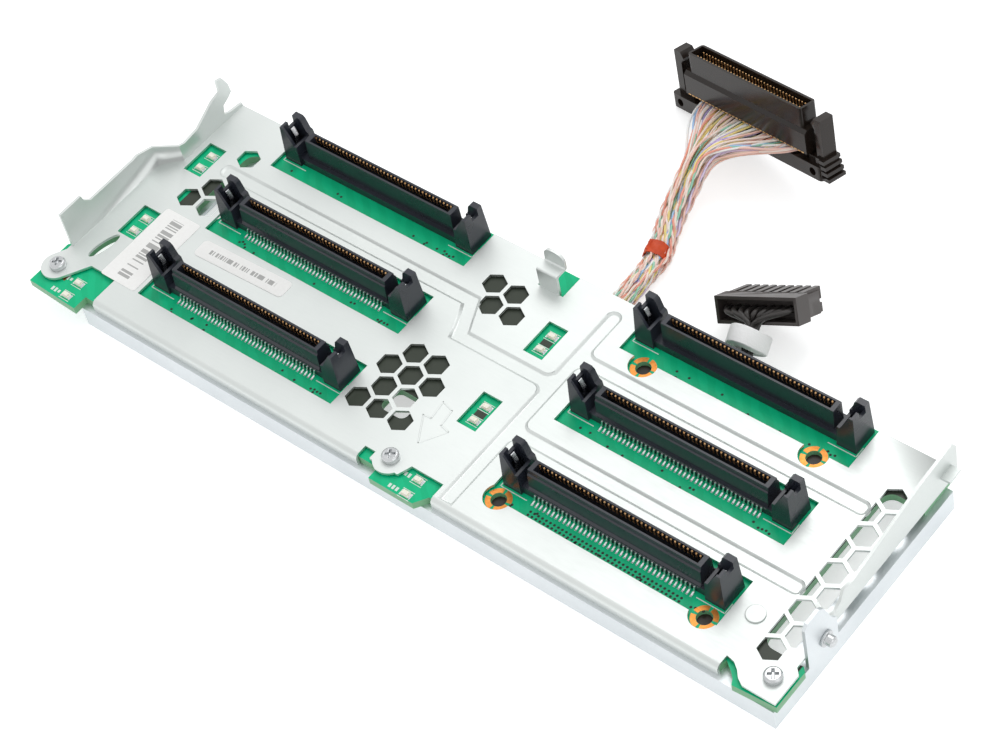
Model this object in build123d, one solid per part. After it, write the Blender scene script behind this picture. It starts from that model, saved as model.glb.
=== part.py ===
from build123d import *
import math
import os

os.makedirs("parts", exist_ok=True)

# Overall sizes in millimetres. The origin is the bottom centre of the board,
# +X runs along the drive connectors, +Y to the back and +Z up.
column_pitch = 124.6
row_pitch = 27.5
board_length = 2 * column_pitch + 4.8
board_depth = 3 * row_pitch - 0.5
pcb_thickness = 2.4
frame_height = 7.2
plate_gap = 0.5
plate_sheet = 0.8
frame_sheet = 1.0

# Drive layout: three rows of drives in two columns
columns_middle = 2.3
first_row_setback = 4.8

# Drive connector
contact_pitch = 1.27
contacts_in_row = 40
housing_length = 69.0
shroud_length = 53.5
shroud_width = 3.96
shroud_height = 9.5
slot_width = 2.5
slot_end_wall = 1.3
slot_floor = 3.4
plinth_width = 6.6
plinth_height = 2.6
tower_length = 5.9
tower_width = 8.2
tower_height = 12.7
tower_wall = 1.2
tower_bar_height = 7.1
tower_floor = 3.0
tower_draft = 2.6
contact_tip = 8.0
leaf_width = 0.5
leaf_depth = 0.5
tail_width = 0.44
tail_top = 1.9
tail_reach = 1.6

# Plate windows round each connector
window_length = 71.6
window_front = 9.2
window_back = 5.8
lamp_window_length = 6.4
lamp_window_depth = 11.4

# Hexagonal vents
vent_flats = 6.25
vent_pitch = 7.35
vent_row_pitch = 6.4

# Pressed channels of the plate
channel_width = 4.7
channel_depth = 0.45
channel_corner = 2.0

# Board holes with a bare ring
ring_hole_diameter = 4.2
ring_diameter = 7.2
plate_hole_clearance = 0.4
rear_hole_spacing = 53.3
front_hole_spacing = 64.1

# Flanges, lip and lug
lip_bend_radius = 1.6
lip_setback = 3.6
lug_height = 24.6
right_flange_height = 23.4
left_flange_height = 23.7
hook_height = 26.0
stud_diameter = 3.0
screw_head_diameter = 4.8
screw_head_height = 1.8
screw_diameter = 3.0

# Status lamps
lamp_length = 3.0
lamp_width = 2.0
lamp_height = 1.0
lamp_spacing = 5.0
lamp_offset_x = 53.7
lamp_offset_y = 16.7

# Cables
signal_cable_diameter = 7.6
power_cable_diameter = 3.4
plug_pitch = 1.27
plug_contacts_in_row = 34

# Levels and edges that follow from the sizes above
pcb_under = frame_height
pcb_top = pcb_under + pcb_thickness
plate_under = pcb_top + plate_gap
plate_top = plate_under + plate_sheet
left_edge = -board_length / 2
front_edge = -board_depth / 2
back_edge = board_depth / 2
column_x = [columns_middle - column_pitch / 2, columns_middle + column_pitch / 2]
row_y = [back_edge - first_row_setback - row_pitch * i for i in range(3)]
names = [(c, r, "ab"[c] + str(r + 1)) for c in range(2) for r in range(3)]


def save(name, shape):
    shape.label = name
    export_step(shape, f"parts/{name}.step")


def block(x0, x1, y0, y1, z0, z1):
    box = Box(x1 - x0, y1 - y0, z1 - z0, align=(Align.MIN, Align.MIN, Align.MIN))
    return Pos(x0, y0, z0) * box


def rect(x0, x1, y0, y1):
    return Pos((x0 + x1) / 2, (y0 + y1) / 2) * Rectangle(x1 - x0, y1 - y0)


def rounded(x0, x1, y0, y1, radius):
    return Pos((x0 + x1) / 2, (y0 + y1) / 2) * RectangleRounded(x1 - x0, y1 - y0, radius)


def polygon(points):
    return make_face(Polyline(*points, close=True))


def upright_x(points, x0, x1):
    """A side outline of (y, z) points, given its width along X."""
    face = Plane.YZ.offset(x0) * polygon(points)
    return extrude(face, amount=x1 - x0, dir=(1, 0, 0))


def upright_y(points, y0, y1):
    """A front outline of (x, z) points, given its depth along Y."""
    face = Plane.XZ.offset(-y0) * polygon(points)
    return extrude(face, amount=y1 - y0, dir=(0, 1, 0))


# Circuit board: a rectangle with lamp tabs at the front and air slots
pcb_back = back_edge
pcb_front = front_edge + lip_setback + plate_sheet + 0.3
tab_front = front_edge
left_tab_right = left_edge + 18.4
middle_tab = (column_x[1] - lamp_offset_x - 11.7, column_x[1] - lamp_offset_x + 3.1)
right_tab = (112.5, 124.9)
pcb_side_step = 12.0
pcb_outline = polygon([
    (left_edge, front_edge + 0.7),
    (left_tab_right, tab_front),
    (left_tab_right, pcb_front),
    (middle_tab[0], pcb_front),
    (middle_tab[0], front_edge + 0.9),
    (middle_tab[1], front_edge + 0.9),
    (middle_tab[1] + 2.6, pcb_front),
    (right_tab[0] - 5.5, pcb_front),
    (right_tab[0] - 5.0, front_edge + 7.2),
    (right_tab[0] - 2.1, front_edge + 5.1),
    (right_tab[0] - 0.7, front_edge + 3.7),
    (right_tab[0], front_edge + 2.2),
    (right_tab[1], front_edge + 3.0),
    (right_tab[1], front_edge + 14.5),
    (right_tab[1] - 2.5, front_edge + 17.0),
    (right_tab[1] - 2.5, pcb_back),
    (left_edge + 7.0, pcb_back),
    (left_edge + 7.0, pcb_side_step + 4.4),
    (left_edge + 2.6, pcb_side_step),
    (left_edge + 2.6, front_edge + 18.5),
    (left_edge, front_edge + 16.0),
])
leaf_at = (left_edge + 10.6, front_edge + 20.6)
leaf_turn = 78
air_slots = [
    rounded(right_tab[0] - 0.7, right_tab[1] + 3, front_edge + 15.6, front_edge + 68.2, 3.0),
    rounded(-104.6, -95.6, front_edge + 43.8, front_edge + 69.5, 3.5),
    rounded(-13.5, -5.0, front_edge + 19.8, front_edge + 27.4, 2.0),
    Pos(*leaf_at) * Rot(0, 0, leaf_turn) * Ellipse(6.6, 2.8),
]
rear_holes_y = row_y[0] - 10.5
front_holes_y = row_y[2] - 8.4
rear_holes_x = [column_x[1] - rear_hole_spacing / 2 - 0.4, column_x[1] + rear_hole_spacing / 2 - 0.4]
front_holes_x = [column_x[1] - front_hole_spacing / 2 - 0.5, column_x[1] + front_hole_spacing / 2 - 0.5]
ring_holes = [(x, rear_holes_y) for x in rear_holes_x] + [(x, front_holes_y) for x in front_holes_x]
screw_y = front_edge + 8.9
screws_at = [(left_edge + 4.4, screw_y - 0.6), (0.9, screw_y - 0.5), (120.1, screw_y - 0.2)]
clinch_at = (106.4, front_edge + 20.7)
pcb = extrude(pcb_outline, amount=pcb_thickness)
for slot in air_slots:
    pcb -= extrude(slot, amount=pcb_thickness)
for x, y in ring_holes:
    pcb -= Pos(x, y) * Cylinder(ring_hole_diameter / 2, 3 * pcb_thickness)
for x, y in screws_at:
    pcb -= Pos(x, y) * Cylinder(screw_diameter / 2 + 0.2, 3 * pcb_thickness)
pcb -= Pos(*clinch_at) * Cylinder(1.8, 3 * pcb_thickness)
save("backplane_pcb", Pos(0, 0, pcb_under) * pcb)


# Drive connector housing, drawn once at its own middle and copied
def tower():
    """The right guide tower: a drafted post, hollow, with a lower inner bar."""
    inner = housing_length / 2 - tower_length
    outer = housing_length / 2
    middle = (inner + outer) / 2
    base = Pos(middle, 0) * Rectangle(tower_length, tower_width)
    post = extrude(base, amount=tower_height, taper=tower_draft)
    half = tower_width / 2
    wall = tower_wall
    hollow = block(inner + wall, outer - wall - 0.2, -half + wall, half - 2.4, tower_floor, 20)
    above_bar = block(inner - 1, inner + wall, -half - 1, half - 2.4, tower_bar_height, 20)
    slope = upright_y([
        (inner + wall - 0.01, tower_bar_height),
        (outer - wall - 0.5, tower_height + 0.1),
        (outer - wall - 0.5, tower_height + 5),
        (inner + wall - 0.01, tower_height + 5),
    ], -half - 1, half - 2.4)
    shoulder = upright_y([
        (inner - 1, tower_bar_height),
        (inner + wall, tower_bar_height + 1.4),
        (inner + wall + 0.8, tower_height - 0.8),
        (inner + wall + 1.6, tower_height + 0.1),
        (inner - 1, tower_height + 0.1),
    ], half - 2.5, half + 1)
    notch = block(outer - wall - 1.2, outer + 1, -half + 3.2, half - 2.4, tower_height - 2.4, 20)
    return post - hollow - above_bar - slope - shoulder - notch


def connector_body(sloped):
    """The long shroud on its plinth. The two lower rows have a stepped front."""
    foot = plinth_width / 2
    side = shroud_width / 2
    if sloped:
        half = [(foot, 0), (foot, plinth_height - 0.3), (side + 0.6, plinth_height + 0.8),
                (side + 0.4, shroud_height - 1.7), (side, shroud_height - 1.4)]
    else:
        half = [(foot, 0), (foot, plinth_height), (side + 0.1, plinth_height)]
    profile = half + [(side - 0.15, shroud_height)]
    outline = profile + [(-y, z) for y, z in reversed(profile)]
    body = upright_x(outline, -shroud_length / 2, shroud_length / 2)
    bridge = housing_length / 2 - tower_length + 0.5
    body += block(-bridge, bridge, -foot, foot, 0, plinth_height)
    reach = shroud_length / 2 - slot_end_wall
    body -= block(-reach, reach, -slot_width / 2, slot_width / 2, slot_floor, 20)
    right = tower()
    return body + right + mirror(right, Plane.YZ)


def contact_row(row_side, shift):
    """Formed leaves standing in the slot against one wall."""
    leaves = []
    start = -(contacts_in_row - 1) / 2 * contact_pitch + shift
    wall = row_side * slot_width / 2
    side = [(wall, slot_floor), (wall, contact_tip), (wall - row_side * leaf_depth, slot_floor)]
    for i in range(contacts_in_row):
        x = start + i * contact_pitch
        leaves.append(upright_x(side, x - leaf_width / 2, x + leaf_width / 2))
    return leaves


def tail_row():
    """Solder tails stepping down from the plinth to their pads."""
    foot = plinth_width / 2
    start = -(contacts_in_row - 1) / 2 * contact_pitch + contact_pitch / 4
    tails = []
    side = [(-foot, tail_top), (-foot - tail_reach, 0.0), (-foot, tail_top - 0.6)]
    for i in range(contacts_in_row):
        x = start + i * contact_pitch
        tails.append(upright_x(side, x - tail_width / 2, x + tail_width / 2))
    return tails


def spring():
    """A bent earthing spring that hangs in a guide tower."""
    x = housing_length / 2 - tower_wall - 0.2
    front = -tower_width / 2 + tower_wall + 2.0
    side = [(x, tower_floor), (x - 0.3, tower_floor), (x - 1.5, tower_floor + 4.5),
            (x - 0.6, tower_height - 2.6), (x - 0.3, tower_height - 2.6), (x - 1.1, tower_floor + 4.5)]
    return upright_y(side, front, front + 1.3)


bodies = [connector_body(False), connector_body(True)]
right_spring = spring()
springs = []
for c, r, tag in names:
    here = Pos(column_x[c], row_y[r], pcb_top)
    save(f"drive_connector_{tag}", here * bodies[min(r, 1)])
    save(f"contacts_{tag}", here * Compound(children=contact_row(1, -contact_pitch / 4)))
    if r > 0:
        save(f"solder_tails_{tag}", here * Compound(children=tail_row()))
    springs += [here * right_spring, here * mirror(right_spring, Plane.YZ)]
save("guide_springs", Compound(children=springs))

# Cover plate outline: sheet steel with a notched front edge and screw tongues
plate_left = left_edge + 2.2
plate_left_back = left_edge + 7.3
plate_right = 123.1
plate_front = front_edge + lip_setback
fold_start = plate_front + lip_bend_radius
plate_back = back_edge - 0.5
lamp_x = [x - lamp_offset_x for x in column_x]
screw_tab = (107.4, 124.6)
plate_outline = polygon([
    (plate_left, plate_back - 68.0),
    (plate_left, pcb_side_step - 2.0),
    (plate_left_back, pcb_side_step + 3.5),
    (plate_left_back, plate_back),
    (plate_right, plate_back),
    (plate_right, front_edge + 14.0),
    (screw_tab[1], front_edge + 12.5),
    (screw_tab[1], front_edge + 3.0),
    (screw_tab[0] + 7.7, front_edge + 2.9),
    (screw_tab[0] + 5.8, front_edge + 4.1),
    (screw_tab[0] + 4.3, front_edge + 5.8),
    (screw_tab[0] + 2.4, front_edge + 7.2),
    (screw_tab[0], front_edge + 7.7),
    (screw_tab[0], fold_start),
    (lamp_x[1] + 7.0, fold_start),
    (lamp_x[1] + 7.0, fold_start + 4.0),
    (lamp_x[1] - 3.6, fold_start + 4.0),
    (lamp_x[1] - 5.2, fold_start),
    (lamp_x[0] + 9.0, fold_start),
    (lamp_x[0] + 9.0, fold_start + 8.0),
    (lamp_x[0] - 4.0, fold_start + 8.0),
    (lamp_x[0] - 7.0, fold_start + 9.5),
])
plate = extrude(plate_outline, amount=plate_sheet)
tongues = [
    SlotCenterToCenter(14.0, 9.4, rotation=58),
    SlotCenterToCenter(8.0, 9.4, rotation=90),
]
plate += extrude(Pos(screws_at[0][0] + 3.4, screws_at[0][1] + 5.8) * tongues[0], amount=plate_sheet)
plate += extrude(Pos(screws_at[1][0], screws_at[1][1] + 3.6) * tongues[1], amount=plate_sheet)

# Front lip: bent down over the board's front edge, in three stretches
def lip(x0, x1):
    radius = lip_bend_radius
    thin = radius - plate_sheet
    top = plate_sheet
    bottom = -(plate_under - pcb_under)
    outer = [
        Line((fold_start, top), (fold_start, 0)),
        CenterArc((fold_start, top - radius), thin, 90, 90),
        Line((fold_start - thin, top - radius), (fold_start - thin, bottom)),
        Line((fold_start - thin, bottom), (fold_start - radius, bottom)),
        Line((fold_start - radius, bottom), (fold_start - radius, top - radius)),
        CenterArc((fold_start, top - radius), radius, 90, 90),
    ]
    face = Plane.YZ.offset(x0) * make_face(outer)
    return extrude(face, amount=x1 - x0, dir=(1, 0, 0))


lip_runs = [(lamp_x[0] + 9.0, lamp_x[1] - 18.2), (lamp_x[1] + 7.0, screw_tab[0])]
for x0, x1 in lip_runs:
    plate += lip(x0, x1)
plate -= extrude(rect(lamp_x[1] - 18.2, screws_at[1][0] - 4.7, fold_start - 3, fold_start + 2.5), amount=1)

# Windows, holes and vents of the plate
cuts = []
for c, r, tag in names:
    back = 12 if r == 0 else window_back
    x = column_x[c]
    y = row_y[r]
    cuts.append(rect(x - window_length / 2, x + window_length / 2, y - window_front, y + back))
    if r < 2:
        lamp = Rectangle(lamp_window_length, lamp_window_depth)
        cuts.append(Pos(x - lamp_offset_x, y - lamp_offset_y - 0.8) * lamp)
for x, y in ring_holes:
    cuts.append(Pos(x, y) * Circle(ring_diameter / 2 + plate_hole_clearance))
vent = RegularPolygon(vent_flats / 2, 6, major_radius=False, rotation=30)
vents_at = []


def vent_rows(x, y, rows):
    """Vents on one lattice: each row is (how many rows down, first half step, count)."""
    for down, half_steps, count in rows:
        for i in range(count):
            vents_at.append((x + (half_steps / 2 + i) * vent_pitch, y - down * vent_row_pitch))


vent_rows(-15.9, -3.0, [(0, 0, 2), (1, -1, 3), (2, 0, 2), (3, -1, 3)])
vent_rows(-13.0, 26.8, [(0, 0, 2), (1, 1, 2)])
vent_rows(-104.2, 12.1, [(0, 0, 1), (1, -1, 2)])
vents_at.append((-102.8, 25.5))
band_x = plate_right - 8.0
vent_rows(band_x, 25.1, [(down, 0, 1) for down in (0, 2, 4, 6, 8)])
vent_rows(band_x, 25.1, [(down, -1, 2) for down in (1, 3, 5, 7)])
band = rect(plate_right - 11.3, plate_right - 1.2, front_edge, back_edge)
for x, y in vents_at:
    hexagon = Pos(x, y) * vent
    cuts.append(hexagon & band if x > 100 else hexagon)
leaf_slot = Pos(*leaf_at) * Rot(0, 0, leaf_turn) * Ellipse(5.4, 1.6)
for cut in cuts:
    plate -= extrude(cut, amount=plate_sheet)
plate -= extrude(leaf_slot, amount=plate_sheet)
for x, y in screws_at:
    plate -= Pos(x, y) * Cylinder(screw_diameter / 2 + 0.2, 4)
plate -= Pos(*clinch_at) * Cylinder(1.8, 4)

# Pressed channels round the raised panels
channel_half = channel_width / 2
aisle_x = lamp_x[1] + 10.6
row_aisle = [row_y[i] - 17.3 for i in range(2)]
channel = rounded(column_x[0] - 47.0, lamp_x[1] - 25.0, row_aisle[0] - channel_half,
                  row_aisle[0] + channel_half, channel_half - 0.1)
channel += polygon([
    (lamp_x[1] - 29.5, row_aisle[0] + channel_half), (lamp_x[1] - 24.0, row_aisle[0] + channel_half),
    (lamp_x[1] - 19.0, row_aisle[0] - 8.5), (lamp_x[1] - 24.5, row_aisle[0] - 8.5)])
channel += rect(lamp_x[1] - 23.0, aisle_x, row_aisle[0] - 13.2, row_aisle[0] - 8.5)
channel += rect(aisle_x - channel_half, aisle_x + channel_half, fold_start, back_edge - 7)
channel += Pos(aisle_x, back_edge - 7) * Circle(channel_half)
for y in row_aisle:
    channel += rounded(aisle_x, 112.0, y - channel_half, y + channel_half, channel_half - 0.1)


def round_in(x, y, to_right, to_back):
    """The web that rounds the inner corner where two channels meet."""
    radius = channel_corner
    square = rect(min(x, x + to_right * radius), max(x, x + to_right * radius),
                  min(y, y + to_back * radius), max(y, y + to_back * radius))
    return square - Pos(x + to_right * radius, y + to_back * radius) * Circle(radius)


for y in row_aisle:
    channel += round_in(aisle_x + channel_half, y + channel_half, 1, 1)
    channel += round_in(aisle_x + channel_half, y - channel_half, 1, -1)
channel += round_in(aisle_x - channel_half, row_aisle[0] - 8.5, -1, 1)
channel += round_in(aisle_x - channel_half, row_aisle[0] - 13.2, -1, -1)
trough = extrude(Pos(0, 0, plate_sheet) * channel, amount=-channel_depth)
under = extrude(channel & plate_outline, amount=-channel_depth + 0.05)
plate += under
plate -= trough

# Left flange: a strip with a step in plan, cut to the hook's outline
left_plan = polygon([
    (plate_left, plate_back - 65.9), (plate_left, pcb_side_step - 1.5), (plate_left_back, pcb_side_step + 3.8),
    (plate_left_back, plate_back), (plate_left_back + plate_sheet, plate_back),
    (plate_left_back + plate_sheet, pcb_side_step + 3.4), (plate_left + plate_sheet, pcb_side_step - 1.9),
    (plate_left + plate_sheet, plate_back - 65.9),
])
hook_y = back_edge - 6.7
left_profile = [
    (-25.4 - 1.5, plate_under), (-25.4 - 1.5, left_flange_height - 1.4), (-25.3, left_flange_height),
    (-17.1, left_flange_height), (-16.6, left_flange_height - 2.0), (-14.6, 19.9), (2.5, 19.8), (4.6, 20.1),
    (17.4, 16.1), (23.1, 16.6), (30.6, 20.9), (hook_y - 0.2, 21.7), (hook_y, hook_height),
    (hook_y + 2.1, hook_height - 0.6), (hook_y + 3.6, 21.9), (hook_y + 3.8, 18.6), (hook_y + 2.1, 17.5),
    (hook_y - 0.2, 16.4), (hook_y - 0.8, 13.4), (hook_y + 1.2, 12.5), (plate_back, 11.8),
    (plate_back, plate_under),
]
left_flange = upright_x(left_profile, left_edge, left_edge + 15)
left_flange &= extrude(Pos(0, 0, plate_under) * left_plan, amount=20)

# Right flange: bent up behind the lug, with a scallop at its front end
scallop_y = front_edge + 29.8
right_profile = [
    (scallop_y - 2.6, plate_under), (scallop_y - 2.6, plate_top + 3.6), (scallop_y, plate_top + 3.2),
    (scallop_y + 2.6, plate_top + 4.6), (scallop_y + 4.1, plate_top + 7.7), (scallop_y + 7.7, plate_top + 6.7),
    (scallop_y + 20.0, plate_top + 8.6), (scallop_y + 35.7, plate_top + 11.5),
    (plate_back - 2.0, right_flange_height), (plate_back, right_flange_height - 2.4), (plate_back, plate_under),
]
right_flange = upright_x(right_profile, plate_right - plate_sheet, plate_right)
flange_tab = block(plate_right, plate_right + 2.6, back_edge - 7.5, back_edge - 2.8, 15.2, 16.0)

# Strap: a tongue lanced out of the plate's back edge and bent up in three folds
strap_width = 6.8
strap_right = lamp_x[1] - 6.4
strap_front = back_edge - 8.3
strap_rise = 7.0
strap_shelf = 3.9
strap_tip = 11.6
strap_left = strap_right - strap_width
plate -= extrude(rect(strap_left - 0.6, strap_right + 1.1, strap_front, back_edge), amount=plate_sheet)
strap_side = [
    (strap_front, 0), (strap_front, strap_rise + plate_sheet),
    (strap_front + strap_shelf, strap_rise + plate_sheet), (strap_front + strap_shelf, plate_sheet + strap_tip),
    (strap_front + strap_shelf + plate_sheet, plate_sheet + strap_tip),
    (strap_front + strap_shelf + plate_sheet, strap_rise), (strap_front + plate_sheet, strap_rise),
    (strap_front + plate_sheet, 0),
]
strap = upright_x(strap_side, strap_left, strap_right)
folds = strap.edges().filter_by(Axis.X).filter_by(lambda e: 1 < e.center().Z < strap_tip)
strap = fillet(folds, 0.6)
corners = strap.edges().filter_by(Axis.Y).filter_by(lambda e: e.center().Z > strap_tip)
strap = fillet(corners, 2.6)
strap += block(strap_left, strap_right, strap_front - 0.6, strap_front + plate_sheet, 0, plate_sheet)
plate = Pos(0, 0, plate_under) * (plate + strap) + left_flange + right_flange + flange_tab
save("cover_plate", plate)

# Rear bracket: an open sheet frame with its walls bent down to the table
frame_left = left_tab_right - 0.4
frame_right = 124.2
frame_front = front_edge + 2.5
frame_back = back_edge - 4.0
rim = 6.0
frame_top = pcb_under
outer_plan = rect(frame_left, frame_right, frame_front, frame_back)
inner_plan = rect(frame_left + rim, frame_right - rim, frame_front + rim, frame_back - rim)
frame = extrude(outer_plan - inner_plan, amount=-frame_sheet)
wall_plan = outer_plan - rect(frame_left + frame_sheet, frame_right - frame_sheet,
                              frame_front + frame_sheet, frame_back - frame_sheet)
frame += extrude(wall_plan, amount=-frame_height)
frame = Pos(0, 0, frame_top) * frame
ear = rounded(left_edge + 0.6, frame_left + 2, screws_at[0][1] - 5, screws_at[0][1] + 5, 2)
frame += Pos(0, 0, frame_top) * extrude(ear, amount=-frame_sheet)
middle_ear = rounded(screws_at[1][0] - 5, screws_at[1][0] + 5, frame_front + 1, screws_at[1][1] + 5, 2)
frame += Pos(0, 0, frame_top) * extrude(middle_ear, amount=-frame_sheet)
right_ear = rect(screws_at[2][0] - 5, frame_right - 0.5, frame_front + 1, screws_at[2][1] + 5)
frame += Pos(0, 0, frame_top) * extrude(right_ear, amount=-frame_sheet)
lug_y = front_edge + 17.0
stud_y = lug_y + 7.0
stud_z = plate_top + 0.7
lug = upright_x([
    (lug_y, 0), (lug_y, lug_height - 1.8), (lug_y + 1.2, lug_height), (lug_y + 6.0, lug_height),
    (lug_y + 7.6, lug_height - 1.4), (lug_y + 10.2, plate_top + 5.4), (lug_y + 12.0, plate_top + 3.2),
    (lug_y + 12.0, 0),
], frame_right - frame_sheet, frame_right)
frame += lug
for x, y in screws_at:
    frame -= Pos(x, y, frame_top) * Cylinder(screw_diameter / 2, 8)

# Plugs below the board, one for each cable
signal_x = 15.8
power_x = 63.0
header_depth = 9.0
signal_header_back = back_edge - 8.0
power_header_back = back_edge - 22.0


def under_header(x, length, header_back):
    """A low header soldered under the board, open to the back."""
    shell = block(x - length / 2, x + length / 2, header_back - header_depth, header_back,
                  pcb_under - 6.2, pcb_under)
    return shell - block(x - length / 2 + 1, x + length / 2 - 1, header_back - header_depth + 2,
                         header_back + 1, pcb_under - 5.4, pcb_under - 0.8)


signal_length = 38.0
power_length = 20.0
frame -= block(signal_x - signal_length / 2 - 1, power_x + power_length / 2 + 1,
               frame_back - rim - 1, back_edge, -1, frame_top + 1)
frame -= Pos(frame_right, stud_y, stud_z) * Rot(0, 90, 0) * Cylinder(stud_diameter / 2 - 0.1, 4)
save("rear_bracket", frame)

# Screws through the plate's tongues, the board and the frame
screws = []
for x, y in screws_at:
    seat = plate_top
    head = Pos(x, y, seat) * Cylinder(screw_head_diameter / 2, screw_head_height,
                                      align=(Align.CENTER, Align.CENTER, Align.MIN))
    top_edges = head.edges().filter_by(GeomType.CIRCLE).sort_by(Axis.Z)[-1:]
    head = chamfer(top_edges, 0.5)
    cross = Rectangle(0.7, 2.8, rotation=35) + Rectangle(2.8, 0.7, rotation=35)
    head -= Pos(x, y, seat + screw_head_height - 0.9) * extrude(cross, amount=2)
    shank = Pos(x, y, seat) * Cylinder(screw_diameter / 2 - 0.05, seat - pcb_under + frame_sheet,
                                       align=(Align.CENTER, Align.CENTER, Align.MAX))
    screws.append(head + shank)
save("board_screws", Compound(children=screws))

# Clinch rivet that ties the plate to the board
rivet_head = Pos(*clinch_at, plate_top) * Cylinder(2.6, 0.5, align=(Align.CENTER, Align.CENTER, Align.MIN))
rivet_shank = Pos(*clinch_at, plate_top) * Cylinder(1.6, plate_top - pcb_under + 0.6,
                                                    align=(Align.CENTER, Align.CENTER, Align.MAX))
save("clinch_rivet", rivet_head + rivet_shank)

# Guide stud riveted in the lug: shank, shoulder and rounded nose along +X
stud_seat = frame_right
stud_outline = [
    (0, -frame_sheet), (stud_diameter / 2 - 0.1, -frame_sheet), (stud_diameter / 2 - 0.1, 0),
    (2.3, 0), (2.3, 0.7),
    (stud_diameter / 2, 0.7), (stud_diameter / 2, board_length / 2 - stud_seat - 0.5),
    (stud_diameter / 2 - 0.5, board_length / 2 - stud_seat), (0, board_length / 2 - stud_seat),
]
stud = revolve(Plane.XZ * polygon(stud_outline), Axis.Z)
save("guide_stud", Pos(stud_seat, stud_y, stud_z) * Rot(0, 90, 0) * stud)

# Status lamps: two on the board for each drive
lamps = []
for c, r, tag in names:
    for side in (-1, 1):
        x = column_x[c] - lamp_offset_x
        y = row_y[r] - lamp_offset_y - 0.8 + side * lamp_spacing / 2
        lamp = Box(lamp_length, lamp_width, lamp_height, align=(Align.CENTER, Align.CENTER, Align.MIN))
        lamps.append(Pos(x, y, pcb_top) * lamp)
save("status_lamps", Compound(children=lamps))

# Paper labels stuck on the plate
label_thickness = 0.12
panel_label_size = (13.0, 27.6)
strip_label_size = (32.2, 5.8)
panel_label_at = (lamp_x[0] + panel_label_size[0] / 2 + 3.5, front_edge + 12.8 + panel_label_size[1] / 2)
panel_label = Pos(*panel_label_at) * RectangleRounded(*panel_label_size, 0.8)
strip_label = Pos(column_x[0] - 16.3, row_y[1] - 14.5) * Rot(0, 0, 2) * RectangleRounded(*strip_label_size, 1.4)
for name, outline in (("panel_label", panel_label), ("strip_label", strip_label)):
    save(name, extrude(Pos(0, 0, plate_top) * outline, amount=label_thickness))

# Sockets below the board and the cable ends that sit in them
save("signal_header", under_header(signal_x, signal_length, signal_header_back))
save("power_header", under_header(power_x, power_length, power_header_back))
plug_fit = 0.15


def under_plug(x, length, header_back, back):
    """The cable end in a socket below the board."""
    nose = block(x - length / 2 + 1 + plug_fit, x + length / 2 - 1 - plug_fit,
                 header_back - header_depth + 2, header_back + 0.3,
                 pcb_under - 5.4 + plug_fit, pcb_under - 0.8 - plug_fit)
    grip = block(x - length / 2 + 0.6, x + length / 2 - 0.6, header_back + 0.3, back,
                 pcb_under - 6.4, pcb_under - 0.6)
    return nose + grip


signal_exit = back_edge + 1.0
power_exit = power_header_back + 3.0
save("signal_board_plug", under_plug(signal_x, signal_length, signal_header_back, signal_exit))
save("power_board_plug", under_plug(power_x, power_length, power_header_back, power_exit))

# Signal cable plug: shroud, carrier with its two latch arms, and the contacts.
# It is drawn with its open rim up, then laid as it rests beside the board.
rim_length = 46.6
rim_width = 5.7
rim_wall = 0.75
shell_length = 50.0
shell_width = 7.6
shell_step = 6.0
shell_bottom = 13.2
cavity_depth = 5.6
bar_length = 64.0
bar_top = 15.6
bar_bottom = 20.0
bar_front = 3.8
arm_thickness = 2.6
arm_width = 4.6
arm_gap = 4.2
signal_plug_place = Location((10.64, 112.33, 26.1), (-10.05, -9.5, -12.5))

shroud = extrude(RectangleRounded(rim_length, rim_width, 1.0), amount=-shell_step)
shell = extrude(Rectangle(shell_length, shell_width), amount=shell_step - shell_bottom)
shell = Pos(0, 0, -shell_step) * shell
shell = chamfer(shell.edges().group_by(Axis.Z)[-1].filter_by(Axis.X), 1.0) + shroud
shell -= block(-rim_length / 2 + rim_wall, rim_length / 2 - rim_wall, -rim_width / 2 + rim_wall,
               rim_width / 2 - rim_wall, -cavity_depth, 1)
save("signal_plug_shell", signal_plug_place * shell)

pins = []
for row in (-1, 1):
    for i in range(plug_contacts_in_row):
        x = (i - (plug_contacts_in_row - 1) / 2) * plug_pitch
        side = [(row * 1.3, -cavity_depth), (row * 1.3, -0.7), (row * 0.8, -cavity_depth)]
        pins.append(upright_x(side, x - 0.22, x + 0.23))
save("signal_plug_contacts", signal_plug_place * Compound(children=pins))

arm_x = rim_length / 2 + arm_gap
carrier = block(-bar_length / 2, bar_length / 2 - 2, -bar_front, 3.0, -bar_bottom, -bar_top)
carrier = fillet(carrier.edges().filter_by(Axis.Z), 1.2)
carrier += block(-shell_length / 2 + 1, shell_length / 2 - 1, 1.0, 3.0, -bar_top, -shell_bottom)
for side in (-1, 1):
    x0, x1 = sorted((side * arm_x, side * (arm_x + arm_thickness)))
    arm = block(x0, x1, -arm_width / 2, arm_width / 2, -bar_top, -1.6)
    tip = upright_y([(side * (arm_x - 1.2), -3.4), (side * arm_x, -1.6), (side * arm_x, -5.0)],
                    -arm_width / 2, arm_width / 2)
    x0, x1 = sorted((side * (shell_length / 2 - 1), side * arm_x))
    root = block(x0, x1, -arm_width / 2, arm_width / 2, -bar_top, -bar_top + 1.6)
    carrier += arm + tip + root
for i in range(4):
    z = -bar_bottom + 0.4 + i * 1.7
    reach = bar_length / 2 + 0.6 - 0.5 * i
    carrier += block(arm_x + arm_thickness - 1, reach, -bar_front + 0.4, 2.6, z, z + 1.1)
carrier += block(arm_x, bar_length / 2 - 1.0, -bar_front + 0.8, 2.2, -bar_bottom + 0.4, -bar_bottom + 6.6)
for x in (-bar_length / 2 + 3.4, bar_length / 2 - 5.4):
    carrier -= Pos(x, 0, -(bar_top + bar_bottom) / 2) * Rot(90, 0, 0) * Cylinder(1.2, 20)
save("signal_plug_carrier", signal_plug_place * carrier)

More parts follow.
